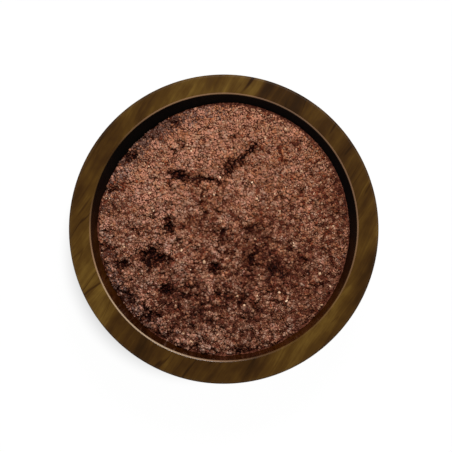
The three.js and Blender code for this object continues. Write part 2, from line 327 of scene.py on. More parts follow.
def smoothed(tree, geometry):
    return add_node(tree, "GeometryNodeSetShadeSmooth", {"Geometry": geometry}).outputs[0]


def realized(tree, geometry):
    return add_node(tree, "GeometryNodeRealizeInstances", {"Geometry": geometry}).outputs[0]


def end_tree(tree, geometry, material):
    """Ends a tree in Realize Instances and Set Material."""
    inputs = {"Geometry": realized(tree, geometry), "Material": material}
    finished = add_node(tree, "GeometryNodeSetMaterial", inputs)
    add_node(tree, "NodeGroupOutput", {"Geometry": finished.outputs[0]})


def plain_object(name, mesh):
    made = bpy.data.objects.new(name, mesh)
    bpy.context.scene.collection.objects.link(made)
    return made


def run_tree(name, mesh, tree, values):
    """Runs a node tree on a mesh, and returns a plain mesh object of the result."""
    source = plain_object(name + "_source", mesh)
    modifier = source.modifiers.new(tree.name, "NODES")
    modifier.node_group = tree
    for item in tree.interface.items_tree:
        if item.in_out == "INPUT" and item.name in values:
            modifier[item.identifier] = values[item.name]
    depsgraph = bpy.context.evaluated_depsgraph_get()
    evaluated = source.evaluated_get(depsgraph)
    result = bpy.data.meshes.new_from_object(evaluated, preserve_all_data_layers=True, depsgraph=depsgraph)
    bpy.data.objects.remove(source)
    result.name = name
    return plain_object(name, result)


# ---- The wood's finish ----

GRAIN_DIRECTION = math.radians(57)  # the fibres' direction in plan
BAND_SLANT = 0.5  # how far the growth bands lean sideways, as a share of the drop below the rim
BAND_BEND = {"scales": (20.0, 45.0, 0.0), "reach": 3.0}
DOWNWARD_STRETCH = 0.45  # a drop counts for less than it is, so that the figure is drawn out down the wall
# Tone of the growth bands, counted across the fibres from the middle to the upper left: 0 is dark, 1 pale.
BAND_TONES = (
    (-47, 0.36),
    (-43.5, 0.62),
    (-39, 0.46),
    (-31, 0.34),
    (-19, 0.30),
    (-6, 0.36),
    (-1, 0.28),
    (2, 0.10),
    (5, 0.26),
    (14.8, 0.32),
    (16.4, 0.60),
    (21, 0.62),
    (32, 0.60),
    (41, 0.44),
    (47, 0.36),
)
# Layers of figure: noise scales along, across and up, detail, and strength. The last is the finest fibres.
FIGURE_LAYERS = (
    ((18.0, 420.0, 150.0), 2.0, 0.5),
    ((90.0, 170.0, 150.0), 3.0, 0.8),
    ((70.0, 2200.0, 800.0), 3.0, 0.3),
)
VEINS = {"scales": (26.0, 260.0, 120.0), "width": 0.02, "break_scales": (40.0, 90.0, 60.0), "darkness": 0.36}
# Streaks and soft patches that stand out on the rim: the middle, counted along the fibres to the upper right
# and across them to the upper left, the half length, the half width and how much paler.
MARKED_FIGURE = (
    (45.6, 19.5, 5.0, 0.45, -0.55),
    (43.5, -20.4, 3.0, 0.45, -0.3),
    (47.0, -11.4, 3.5, 0.5, -0.3),
    (35.0, -31.6, 6.0, 0.4, 0.14),
    (37.5, -32.8, 5.0, 0.4, -0.25),
    (-19.0, 41.5, 5.0, 0.5, -0.3),
    (18.0, 41.5, 7.0, 1.6, -0.2),
    (46.0, 3.0, 6.0, 3.5, -0.2),
    (44.5, 12.3, 6.0, 2.6, -0.24),
    (25.5, -39.5, 6.0, 3.0, -0.18),
    (-41.7, 21.2, 5.0, 4.0, -0.16),
    (-46.8, -2.4, 4.0, 4.0, -0.1),
    (14.5, -44.5, 9.0, 3.5, -0.34),
    (-33.0, -32.5, 7.0, 4.0, -0.22),
    (5.0, 47.0, 7.0, 2.5, -0.14),
    (-30.0, 30.5, 6.0, 3.0, -0.1),
)
MARK_EDGE = (0.3, 1.2)  # shares of the half sizes between which a mark fades
WOOD_COLOURS = (
    (0.0, srgb(39, 22, 4)),
    (0.25, srgb(54, 33, 8)),
    (0.5, srgb(71, 48, 14)),
    (0.75, srgb(95, 71, 27)),
    (1.0, srgb(120, 93, 42)),
)
# What the wood's colour is multiplied by inside the bowl: at the top of the view, where darker wood has
# painted shade that makes it almost black, and on the lit side, where it is only darker wood.
CAVITY_STAIN_AND_SHADE = ((0.012, 0.008, 0.008, 1.0), (0.66, 0.36, 0.3, 1.0))
LIT_WALL = math.radians(262)  # direction of the cavity's lit side, where its painted shade is lightest, from +X towards +Y
PALE_LIP_LINE = (srgb(172, 134, 106), srgb(166, 142, 116))  # colour of the pale lip line, worn wood with painted highlight, where little and much worn and lit
MOUTH_EDGE = (0.1, 0.25)  # where the cavity's darker stain and painted shade end, outwards from the mouth
CAVITY_SKIN = 1.0  # how far behind the cavity's wall a place still counts as cavity
LIP_LINE = (0.12, 0.56)  # where the pale line on the lip, worn wood with painted highlight, starts and ends, outwards from the mouth
LIP_LINE_SOFTNESS = 0.08
LIP_LINE_DEPTH = 0.3  # how far the line reaches down the rounded lip
# How pale the lip line is round the mouth, from 0 to 1, by degrees from +X towards +Y: some wear, and
# painted highlight that is strongest at the bottom left, where the key light glints.
LIP_WEAR_AND_HIGHLIGHT = (
    (0, 0.34),
    (60, 0.32),
    (100, 0.46),
    (122, 0.38),
    (142, 0.02),
    (165, 0.02),
    (190, 0.45),
    (215, 0.95),
    (240, 0.95),
    (262, 0.60),
    (282, 0.12),
    (305, 0.02),
    (330, 0.15),
    (360, 0.34),
)
OUTSIDE_DEPTHS = (0.95, 0.55)  # how far under the outside the duller finish of the outside sets in
WOOD_ROUGHNESS = (0.17, 0.12)  # between the fibres and on them
ROUGHER = {"shaded_wall": 0.6, "lip": 0.18, "outside": 0.5}
WOOD_GLOSS = 0.09
FIBRE_BUMP = {"open": 0.1, "shaded_wall": 0.01, "height": 0.1}


def new_material(name):
    material = bpy.data.materials.new(name)
    material.use_nodes = True
    return material, material.node_tree, material.node_tree.nodes["Principled BSDF"]


def object_place(tree):
    return add_node(tree, "ShaderNodeTexCoord").outputs["Object"]


def fibre_noise(tree, axes, scales, detail):
    """Noise drawn out along the fibres. The axes run along, across and up."""
    parts = [maths(tree, "MULTIPLY", axis, scale) for axis, scale in zip(axes, scales)]
    return noise(tree, combine(tree, *parts), 1.0, detail, roughness=0.6)


def wood_axes(tree, position):
    """Places along the fibres, across the growth bands, which bend and slant, and up."""
    turned = add_node(tree, "ShaderNodeMapping", {"Vector": position, "Rotation": (0, 0, -GRAIN_DIRECTION)})
    axes = split(tree, turned.outputs[0])
    below_rim = maths(tree, "SUBTRACT", axes["Z"], BOWL_HEIGHT * MM)
    slanted = maths(tree, "MULTIPLY_ADD", below_rim, BAND_SLANT, axes["Y"])
    bend = fibre_noise(tree, (axes["X"], slanted, 0.0), BAND_BEND["scales"], 2.0)
    reach = BAND_BEND["reach"] * MM
    across = maths(tree, "ADD", slanted, map_range(tree, bend, 0.2, 0.8, -reach, reach, "LINEAR"))
    return axes["X"], across, maths(tree, "MULTIPLY_ADD", below_rim, DOWNWARD_STRETCH, BOWL_HEIGHT * MM)


def growth_bands(tree, across):
    """The tone of the growth bands."""
    place = map_range(tree, across, -RIM_RADIUS * MM, RIM_RADIUS * MM, 0.0, 1.0, "LINEAR")
    return value_ramp(tree, place, [((mm + RIM_RADIUS) / (2 * RIM_RADIUS), tone) for mm, tone in BAND_TONES])


def dark_veins(tree, axes):
    """Thin broken dark lines, as what they take from the wood's tone."""
    veins = fibre_noise(tree, axes, VEINS["scales"], 1.0)
    off_vein = maths(tree, "ABSOLUTE", maths(tree, "SUBTRACT", veins, 0.5))
    vein = map_range(tree, off_vein, 0.0, VEINS["width"], 1.0, 0.0)
    breaks = fibre_noise(tree, axes, VEINS["break_scales"], 1.0)
    return maths(tree, "MULTIPLY", vein, map_range(tree, breaks, 0.5, 0.65, 0.0, VEINS["darkness"]))


def marked_figure(tree, axes):
    """The marked streaks and patches, as what they add to the wood's tone."""
    total = 0.0
    for along, across, half_length, half_width, paler in MARKED_FIGURE:
        shares = []
        for axis, middle, half in ((axes[0], along, half_length), (axes[1], across, half_width)):
            away = maths(tree, "SUBTRACT", axis, middle * MM)
            shares.append(maths(tree, "MULTIPLY", away, 1 / (half * MM)))
        distance = length(tree, combine(tree, *shares, 0.0))
        total = maths(tree, "ADD", map_range(tree, distance, *MARK_EDGE, paler, 0.0), total)
    return total


def wood_tone(tree, axes):
    """How pale the wood is at each place, and its finest fibres."""
    tone = growth_bands(tree, axes[1])
    for scales, detail, strength in FIGURE_LAYERS:
        layer = fibre_noise(tree, axes, scales, detail)
        tone = maths(tree, "MULTIPLY_ADD", maths(tree, "SUBTRACT", layer, 0.5), strength, tone)
    tone = maths(tree, "SUBTRACT", tone, dark_veins(tree, axes))
    return maths(tree, "ADD", tone, marked_figure(tree, axes)), layer


def lip_wear_and_highlight(tree, position):
    """Wear and painted highlight round the lip, by the direction from the middle."""
    axes = split(tree, position)
    opposite = [maths(tree, "MULTIPLY", axes[name], -1.0) for name in ("Y", "X")]
    share = maths(tree, "MULTIPLY_ADD", maths(tree, "ARCTAN2", *opposite), 0.5 / math.pi, 0.5)
    return value_ramp(tree, share, [(degrees / 360, wear_and_highlight) for degrees, wear_and_highlight in LIP_WEAR_AND_HIGHLIGHT])


def cavity_lit_share(tree, position):
    """From 0 where the painted shade on the cavity's darker wall is deepest, at the top of the view, to 1 at
    its bottom.
    """
    axes = split(tree, position)
    part_x = maths(tree, "MULTIPLY", axes["X"], math.cos(LIT_WALL))
    towards = maths(tree, "MULTIPLY_ADD", axes["Y"], math.sin(LIT_WALL), part_x)
    return map_range(tree, towards, -0.5 * MOUTH_RADIUS * MM, MOUTH_RADIUS * MM, 0.0, 1.0)


def centre_distance(tree, position):
    """The distance from the middle of the two balls that the cavity and the outside are parts of."""
    return length(tree, vector_maths(tree, "SUBTRACT", position, (0.0, 0.0, SPHERE_HEIGHT * MM)))


def outside_mask(tree, position):
    """A mask from 0 to 1 of the rim's outer corner and the wall outside."""
    starts, ends = [(OUTER_RADIUS - depth) * MM for depth in OUTSIDE_DEPTHS]
    return map_range(tree, centre_distance(tree, position), starts, ends, 0.0, 1.0)


def bowl_zones(tree, position):
    """Two masks from 0 to 1: the inside of the cavity, and the pale line on the rounded lip, which is worn
    wood with painted highlight.
    """
    axes = split(tree, position)
    flat_place = combine(tree, axes["X"], axes["Y"], 0.0)
    mouth_middle = tuple(shift * MM for shift in (*MOUTH_SHIFT, 0.0))
    radius = length(tree, vector_maths(tree, "SUBTRACT", flat_place, mouth_middle))
    in_mouth = map_range(tree, radius, *[(MOUTH_RADIUS + edge) * MM for edge in MOUTH_EDGE], 1.0, 0.0)
    skin_radius = (CAVITY_RADIUS + CAVITY_SKIN) * MM
    not_outside = maths(tree, "LESS_THAN", centre_distance(tree, position), skin_radius)
    in_cavity = maths(tree, "MULTIPLY", in_mouth, not_outside)
    starts, ends = [(MOUTH_RADIUS + edge) * MM for edge in LIP_LINE]
    soft = LIP_LINE_SOFTNESS * MM
    past_start = map_range(tree, radius, starts - soft, starts + soft, 0.0, 1.0)
    before_end = map_range(tree, radius, ends - soft, ends + soft, 1.0, 0.0)
    line_low = (MOUTH_HEIGHT - LIP_LINE_DEPTH) * MM
    near_top = map_range(tree, axes["Z"], line_low, MOUTH_HEIGHT * MM, 0.0, 1.0)
    return in_cavity, maths(tree, "MULTIPLY", maths(tree, "MULTIPLY", before_end, past_start), near_top)


def wood_material():
    """Dark oiled wood with straight grain, darker inside the bowl with painted shade towards the top of the
    view, and a paler lip line of worn wood with painted highlight.
    """
    material, tree, shader = new_material("oiled_dark_wood")
    position = object_place(tree)
    tone, fibres = wood_tone(tree, wood_axes(tree, position))
    wood = colour_ramp(tree, tone, WOOD_COLOURS)
    in_cavity, lip = bowl_zones(tree, position)
    # painted shade: the cavity's wall is darkened most towards the top of the view, and made rougher there
    lit_share = cavity_lit_share(tree, position)
    dark = mix_colours(tree, 1.0, wood, mix_colours(tree, lit_share, *CAVITY_STAIN_AND_SHADE), "MULTIPLY")
    # painted highlight: the lip line is paler where the key light glints, as well as where it is worn
    wear_and_highlight = lip_wear_and_highlight(tree, position)
    pale_line = mix_colours(tree, map_range(tree, wear_and_highlight, 0.4, 0.9, 0.0, 1.0), *PALE_LIP_LINE)
    worn_and_lit = mix_colours(tree, wear_and_highlight, wood, pale_line)
    colour = mix_colours(tree, lip, mix_colours(tree, in_cavity, wood, dark), worn_and_lit)
    wire(tree, shader.inputs["Base Color"], colour)
    shaded_wall = maths(tree, "MULTIPLY", in_cavity, maths(tree, "SUBTRACT", 1.0, lit_share))
    masks = {"shaded_wall": shaded_wall, "lip": lip, "outside": outside_mask(tree, position)}
    rough = spread_noise(tree, fibres, *WOOD_ROUGHNESS)
    for name, mask in masks.items():
        rough = maths(tree, "MULTIPLY_ADD", mask, ROUGHER[name], rough)
    wire(tree, shader.inputs["Roughness"], rough)
    shader.inputs["Specular IOR Level"].default_value = WOOD_GLOSS
    flatter = FIBRE_BUMP["shaded_wall"] - FIBRE_BUMP["open"]
    strength = maths(tree, "MULTIPLY_ADD", shaded_wall, flatter, FIBRE_BUMP["open"])
    bump_inputs = {"Height": fibres, "Strength": strength, "Distance": FIBRE_BUMP["height"] * MM}
    wire(tree, shader.inputs["Normal"], add_node(tree, "ShaderNodeBump", bump_inputs).outputs["Normal"])
    return material


# ---- The rub's finish ----

# Painted shade and light of the rub, from deep down to the open surface, by which each colour is multiplied.
SHADES = (
    (0.0, (0.11, 0.03, 0.01, 1)),
    (0.2, (0.32, 0.17, 0.11, 1)),
    (0.4, (0.66, 0.55, 0.48, 1)),
    (0.56, (0.96, 0.95, 0.94, 1)),
    (0.75, (1.28, 1.34, 1.38, 1)),
    (1.0, (1.68, 1.86, 1.98, 1)),
)
POWDER_COLOURS = (
    (0.0, srgb(48, 17, 9)),
    (0.4, srgb(74, 35, 22)),
    (0.8, srgb(98, 54, 38)),
    (1.0, srgb(122, 76, 57)),
)
POWDER_SCALE = 1900.0  # specks to the metre
POWDER_BUMP = {"strength": 0.5, "height": 0.3}
POWDER_GLOSS = 0.1


def grain_material(name, colours, gloss):
    """Each grain has one small spot of this map, which runs from greyish to warm and from dim to bright, the
    painted shade and light.
    """
    material, tree, shader = new_material(name)
    spot = split(tree, add_node(tree, "ShaderNodeUVMap", uv_map="OFBake").outputs["UV"])
    last = len(colours) - 1
    hue = colour_ramp(tree, spot["X"], [(i / last, srgb(*colour)) for i, colour in enumerate(colours)])
    shade = colour_ramp(tree, spot["Y"], SHADES)
    wire(tree, shader.inputs["Base Color"], mix_colours(tree, 1.0, hue, shade, "MULTIPLY"))
    wire(tree, shader.inputs["Roughness"], map_range(tree, spot["X"], 0, 1, 0.7, 0.5))
    shader.inputs["Specular IOR Level"].default_value = gloss
    return material


def powder_material():
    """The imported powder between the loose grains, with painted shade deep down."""
    material, tree, shader = new_material("packed_powder")
    speck_inputs = {"Vector": object_place(tree), "Scale": POWDER_SCALE}
    specks = add_node(tree, "ShaderNodeTexVoronoi", speck_inputs).outputs
    draws = split(tree, specks["Color"])
    speckle = colour_ramp(tree, draws["X"], POWDER_COLOURS)
    openness = add_node(tree, "ShaderNodeAttribute", attribute_name="openness").outputs["Fac"]
    # painted shade: darker in the crevices and hollows, paler on the open tops
    shade = colour_ramp(tree, openness, SHADES)
    wire(tree, shader.inputs["Base Color"], mix_colours(tree, 1.0, speckle, shade, "MULTIPLY"))
    wire(tree, shader.inputs["Roughness"], map_range(tree, draws["Y"], 0, 1, 0.7, 0.9))
    shader.inputs["Specular IOR Level"].default_value = POWDER_GLOSS
    strength, height = POWDER_BUMP["strength"], POWDER_BUMP["height"] * MM
    bump_inputs = {"Height": specks["Distance"], "Strength": strength, "Distance": height}
    wire(tree, shader.inputs["Normal"], add_node(tree, "ShaderNodeBump", bump_inputs).outputs["Normal"])
    return material


# ---- The bowl ----


def arc_points(radial, height, radius, from_degrees, to_degrees, steps):
    """Points of an arc. Angle 0 points outwards and 90 up."""
    angles = np.radians(np.linspace(from_degrees, to_degrees, steps + 1))
    return [(radial + radius * math.cos(a), height + radius * math.sin(a)) for a in angles]


def angle_below(radius, ball_radius):
    """The angle, in degrees below level, at which a ball has the given radius in plan."""
    return -math.degrees(math.acos(radius / ball_radius))


def bowl_profile():
    """Half section of the bowl, from the middle of the foot round to the middle of the cavity."""
    steps = PROFILE_STEPS
    foot_angle, rim_angle = angle_below(FOOT_RADIUS, OUTER_RADIUS), angle_below(RIM_RADIUS, OUTER_RADIUS)
    mouth_angle = angle_below(MOUTH_RADIUS, CAVITY_RADIUS)
    foot_flat, edge_height = FOOT_RADIUS - FOOT_CHAMFER, BOWL_HEIGHT - RIM_EDGE_ROUND
    foot = [(r, 0.0) for r in np.linspace(0, foot_flat, steps["foot"])]
    chamfer = arc_points(foot_flat, FOOT_CHAMFER, FOOT_CHAMFER, -90, 0, steps["chamfer"])
    outside = arc_points(0, SPHERE_HEIGHT, OUTER_RADIUS, foot_angle, rim_angle, steps["outside"])
    flat_from, flat_to = RIM_RADIUS - RIM_EDGE_ROUND, MOUTH_RADIUS + LIP_ROUND
    edge = arc_points(flat_from, edge_height, RIM_EDGE_ROUND, 0, 90, steps["edge"])
    between = np.linspace(flat_from - EDGE_LOOP, flat_to + EDGE_LOOP, steps["flat"])
    rim = [(r, BOWL_HEIGHT) for r in (flat_from, *between, flat_to)]
    lip = arc_points(flat_to, MOUTH_HEIGHT, LIP_ROUND, 90, 180, steps["lip"])
    cavity = arc_points(0, SPHERE_HEIGHT, CAVITY_RADIUS, mouth_angle, -90, steps["cavity"])
    return foot + chamfer[1:] + outside + edge[1:] + rim[1:] + lip[1:] + cavity[1:]


def profile_mesh(profile):
    """The half section as a chain of edges in the XZ plane."""
    mesh = bpy.data.meshes.new("bowl_profile")
    edges = [(i, i + 1) for i in range(len(profile) - 1)]
    mesh.from_pydata([(r * MM, 0, z * MM) for r, z in profile], edges, [])
    return mesh


def mouth_shift_share(tree, radius, height):
    """How much of the mouth's shift a place takes: all at the lip, none low down or at the outside."""
    rises = map_range(tree, height, MOUTH_SHIFT_FROM * MM, MOUTH_HEIGHT * MM, 0.0, 1.0)
    from_radius, to_radius = MOUTH_RADIUS + LIP_ROUND + 0.1, RIM_RADIUS - RIM_EDGE_ROUND
    inside = map_range(tree, radius, from_radius * MM, to_radius * MM, 1.0, 0.0, "LINEAR")
    return maths(tree, "MULTIPLY", rises, inside)


def spin_tree():
    """Turns a half section once round the upright axis."""
    tree, given = new_geometry_tree("SpinHalfSection", {"Sides": "Int", "Material": "Material"})
    counted = add_node(tree, "GeometryNodeAttributeDomainSize", {"Geometry": given["Geometry"]})
    rows = counted.outputs["Point Count"]
    columns = maths(tree, "ADD", given["Sides"], 1)
    grid_inputs = {"Size X": 1.0, "Size Y": 1.0, "Vertices X": columns, "Vertices Y": rows}
    grid = add_node(tree, "GeometryNodeMeshGrid", grid_inputs).outputs
    mapped = store(tree, grid["Mesh"], "OFBake", grid["UV Map"], "FLOAT2", "CORNER")
    place = split(tree, position_field(tree))
    row = maths(tree, "MULTIPLY", maths(tree, "ADD", place["Y"], 0.5), maths(tree, "SUBTRACT", rows, 1))
    index = maths(tree, "ROUND", row)
    inputs = {"Geometry": given["Geometry"], "Value": position_field(tree), "Index": index}
    sample = add_node(tree, "GeometryNodeSampleIndex", inputs, data_type="FLOAT_VECTOR", domain="POINT")
    section = split(tree, sample.outputs["Value"])
    turn = maths(tree, "MULTIPLY", maths(tree, "ADD", place["X"], 0.5), 2 * math.pi)
    shift_share = mouth_shift_share(tree, section["X"], section["Z"])
    flat = []
    for turning, shift in (("COSINE", MOUTH_SHIFT[0]), ("SINE", MOUTH_SHIFT[1])):
        part = maths(tree, "MULTIPLY", section["X"], maths(tree, turning, turn))
        flat.append(maths(tree, "MULTIPLY_ADD", shift_share, shift * MM, part))
    spun = placed_at(tree, mapped, combine(tree, *flat, section["Z"]))
    merge_inputs = {"Geometry": spun, "Distance": MERGE_DISTANCE * MM}
    closed = add_node(tree, "GeometryNodeMergeByDistance", merge_inputs).outputs[0]
    end_tree(tree, smoothed(tree, closed), given["Material"])
    return tree


def make_bowl():
    """The bowl, turned from its half section."""
    values = {"Sides": BOWL_SIDES, "Material": wood_material()}
    return run_tree("turned_bowl", profile_mesh(bowl_profile()), spin_tree(), values)


# ---- The surface of the rub ----


def corner_value(column, row, seed):
    """One random number from -1 to 1 for each corner of a square grid."""
    parts = ((column, 374761393), (row, 668265263), (np.int64(seed), 1274126177))
    h = np.zeros_like(column)
    for value, factor in parts:
        h = h ^ ((value * factor) & 0xFFFFFFFF)
    h = ((h ^ (h >> 13)) * 1274126177) & 0xFFFFFFFF
    return 2 * ((h ^ (h >> 16)) / 2**32) - 1


def smooth_step(value, low=0.0, high=1.0):
    """From 0 at low to 1 at high, with soft ends."""
    t = np.clip((value - low) / (high - low), 0, 1)
    return t * t * (3 - 2 * t)


def smooth_noise(x, y, cell, seed):
    """Smooth random heights from -1 to 1, on a grid of the given cell size."""
    column = np.floor(x / cell).astype(np.int64)
    row = np.floor(y / cell).astype(np.int64)
    u = smooth_step(x / cell - column)
    v = smooth_step(y / cell - row)
    low = corner_value(column, row, seed) * (1 - u) + corner_value(column + 1, row, seed) * u
    high = corner_value(column, row + 1, seed) * (1 - u) + corner_value(column + 1, row + 1, seed) * u
    return low * (1 - v) + high * v


def hollow_depth(hollow, x, y):
    """The depth of one hollow, a rounded pit that may be longer one way."""
    centre_x, centre_y, long, short, turn, depth = hollow
    cos, sin = math.cos(math.radians(turn)), math.sin(math.radians(turn))
    along = ((x - centre_x) * cos + (y - centre_y) * sin) / long
    across = ((y - centre_y) * cos - (x - centre_x) * sin) / short
    return depth * np.exp(-HOLLOW_FALL * (along**2 + across**2) ** 1.5)


def groove_depth(groove, x, y):
    """The depth of one groove, a straight furrow with round ends."""
    (x0, y0), (x1, y1), width, depth = groove
    run_x, run_y = x1 - x0, y1 - y0
    share = np.clip(((x - x0) * run_x + (y - y0) * run_y) / (run_x**2 + run_y**2), 0, 1)
    distance = np.hypot(x - x0 - share * run_x, y - y0 - share * run_y)
    return depth * np.exp(-((distance / width) ** 2))


def heap_radius_at(height):
    """The radius that the heap fills at a height, just inside the cavity."""
    return np.sqrt((CAVITY_RADIUS - RUB_GAP) ** 2 - (SPHERE_HEIGHT - height) ** 2)


def wall_share(x, y):
    """How far out a place is, as a share of the way to the wall."""
    return np.hypot(x, y) / heap_radius_at(RUB_EDGE_LEVEL)


def down_left_share(x, y):
    """From about 0 at the top right to about 1 at the bottom left."""
    return (RIM_RADIUS - x - y) / (2 * RIM_RADIUS)


def coarseness_at(x, y):
    """How coarse the rub is: fine at the top right, lumpy at the bottom left."""
    fine, coarse = COARSENESS["top_right"], COARSENESS["bottom_left"]
    return fine + (coarse - fine) * down_left_share(x, y)


def facing_share(x, y, towards, spread):
    """From 1 in a direction to 0 at the given spread in degrees to each side of it."""
    turn = np.abs((np.degrees(np.arctan2(y, x)) - towards + 180) % 360 - 180)
    return smooth_step(1 - turn / spread)


def wall_rise(x, y):
    """How far the rub rises next to the wall, or sinks where it is below 0."""
    return sum(
        rise * facing_share(x, y, towards, spread) * smooth_step(wall_share(x, y), start, 1)
        for towards, spread, rise, start in WALL_LEVELS
    )


def wall_dip(x, y):
    """How far the rub sinks next to the wall."""
    return np.maximum(-wall_rise(x, y), 0)


def wall_shade_share(x, y):
    """The share of greyish dark grains, painted shade, which lie in strips along the wall."""
    wall_shade = sum(
        most * facing_share(x, y, towards, spread) * smooth_step(wall_share(x, y), start, start + WALL_SHADE_EDGE)
        for towards, spread, most, start in WALL_SHADE_STRIPS
    )
    return np.clip(wall_shade, 0, MOST_WALL_SHADE)


def darker_patch_share(x, y):
    """How much darker the rub is in its large soft patches, below 0 where it is paler."""
    return sum(
        strength * np.exp(-((x - centre_x) ** 2 + (y - centre_y) ** 2) / reach**2)
        for centre_x, centre_y, reach, strength in DARKER_PATCHES
    )


def pit_depth(x, y):
    """How deep the hollows, the grooves and the dips along the wall are at each place."""
    dip = wall_dip(x, y)
    cell, reach = HOLLOW_RAGGEDNESS["cell"], HOLLOW_RAGGEDNESS["reach"]
    wander_x = smooth_noise(x, y, cell, SEED + 2) + 0.5 * smooth_noise(x, y, cell / 2, SEED + 3)
    wander_y = smooth_noise(x, y, cell, SEED + 4) + 0.5 * smooth_noise(x, y, cell / 2, SEED + 5)
    x, y = x + reach * wander_x, y + reach * wander_y
    hollows = sum(hollow_depth(hollow, x, y) for hollow in HOLLOWS)
    grooves = np.maximum.reduce([groove_depth(groove, x, y) for groove in GROOVES])
    return HOLLOW_STEEPNESS * (hollows + grooves) + dip


def rub_height(x, y):
    """Height of the rub at places in plan, without its lumps and grains."""
    dome = RUB_DOME * (1 - np.minimum(wall_share(x, y), 1) ** 2)
    waves = WAVES["height"] * np.sin(x / WAVES["stretch_x"] + 0.7) * np.cos(y / WAVES["stretch_y"] - 0.5)
    coarse_bump = COARSE_BUMP["height"] * smooth_noise(x, y, COARSE_BUMP["cell"], SEED)
    fine_bump = FINE_BUMP["height"] * smooth_noise(x, y, FINE_BUMP["cell"], SEED + 1)
    bumps = coarseness_at(x, y) * (coarse_bump + fine_bump)
    bank = np.maximum(wall_rise(x, y), 0)
    return RUB_EDGE_LEVEL + dome + bank + waves + bumps - pit_depth(x, y)


# ---- The heap ----


def stitch_rings(inner, outer):
    """Triangles between two closed rings that may have different numbers of points. One point is a tip."""
    inner_steps = len(inner) if len(inner) > 1 else 0
    outer_steps = len(outer) if len(outer) > 1 else 0
    triangles = []
    i = j = 0
    while i < inner_steps or j < outer_steps:
        here = (inner[i % len(inner)], outer[j % len(outer)])
        if j >= outer_steps or (i < inner_steps and (i + 1) * outer_steps < (j + 1) * inner_steps):
            i += 1
            triangles.append((*here, inner[i % len(inner)]))
        else:
            j += 1
            triangles.append((*here, outer[j % len(outer)]))
    return triangles


def surface_rings(random_numbers):
    """The heap's surface in rings from the middle to the wall, as arrays of points."""
    usual_radius = heap_radius_at(RUB_EDGE_LEVEL)
    rings = [np.array([[0.0, 0.0, float(rub_height(np.array(0.0), np.array(0.0)))]])]
    for k in range(1, HEAP_RINGS + 1):
        count = RING_STEP * k
        angle = 2 * np.pi * np.arange(count) / count
        wall_height = rub_height(usual_radius * np.cos(angle), usual_radius * np.sin(angle))
        radius = heap_radius_at(wall_height) * k / HEAP_RINGS
        spread = 0.0 if k == HEAP_RINGS else POINT_WANDER * usual_radius / HEAP_RINGS
        x = radius * np.cos(angle) + random_numbers.uniform(-spread, spread, count)
        y = radius * np.sin(angle) + random_numbers.uniform(-spread, spread, count)
        rings.append(np.stack([x, y, rub_height(x, y)], 1))
    return rings


def underside_rings():
    """The heap's underside in rings from the wall down to the middle of the cavity."""
    radius = CAVITY_RADIUS - RUB_GAP
    top_angle = math.asin((UNDERSIDE_TOP - SPHERE_HEIGHT) / radius)
    rings = []
    for j, sides in enumerate(UNDERSIDE_SIDES):
        angle = top_angle + (-math.pi / 2 - top_angle) * j / len(UNDERSIDE_SIDES)
        turn = 2 * np.pi * np.arange(sides) / sides
        ring_radius = radius * math.cos(angle)
        height = np.full(sides, SPHERE_HEIGHT + radius * math.sin(angle))
        rings.append(np.stack([ring_radius * np.cos(turn), ring_radius * np.sin(turn), height], 1))
    rings.append(np.array([[0.0, 0.0, SPHERE_HEIGHT - radius]]))
    return rings


def heap_mesh():
    """The heap as one closed skin: the uneven surface, and an underside that follows the cavity."""
    rings = surface_rings(np.random.default_rng(SEED)) + underside_rings()
    starts = np.cumsum([0] + [len(ring) for ring in rings])
    numbered = [range(start, end) for start, end in zip(starts[:-1], starts[1:])]
    triangles = []
    for inner, outer in zip(numbered[:-1], numbered[1:]):
        triangles += stitch_rings(inner, outer)
    mesh = bpy.data.meshes.new("heap_skin")
    mesh.from_pydata(np.concatenate(rings) * MM, [], triangles)
    return mesh


def lump_places():
    """Middles and radii of the lumps: the marked ones, then random ones, most at the bottom left."""
    draw = random.Random(SEED)
    places = list(MARKED_LUMPS)
    wall_radius = float(heap_radius_at(RUB_EDGE_LEVEL))
    small, large = LUMP_RADII
    fewest, most = LUMP_SHARES["top_right"], LUMP_SHARES["bottom_left"]
    while len(places) < LUMP_COUNT + len(MARKED_LUMPS):
        share = (len(places) - len(MARKED_LUMPS)) / LUMP_COUNT
        radius = large + (small - large) * share**LUMP_SIZE_FALL
        angle = draw.uniform(0, 2 * math.pi)
        distance = (wall_radius - radius - LUMP_WALL_ROOM) * math.sqrt(draw.random())
        x, y = distance * math.cos(angle), distance * math.sin(angle)
        wanted = fewest + (most - fewest) * down_left_share(x, y)
        clear = all(math.hypot(x - px, y - py) > LUMP_SPACING * (radius + pr) for px, py, pr in places)
        if clear and draw.random() < wanted:
            places.append((x, y, radius))
    return places


def store_field(mesh, name, values):
    """Stores one number for each point of the mesh."""
    mesh.attributes.new(name, "FLOAT", "POINT").data.foreach_set("value", values.astype(np.float32))


def lump_points_mesh():
    """One point for each lump, on the surface, with its radius."""
    x, y, radius = np.array(lump_places()).T
    mesh = bpy.data.meshes.new("lump_points")
    mesh.from_pydata(np.column_stack([x, y, rub_height(x, y)]) * MM, [], [])
    store_field(mesh, "lump_radius", radius * MM)
    return mesh


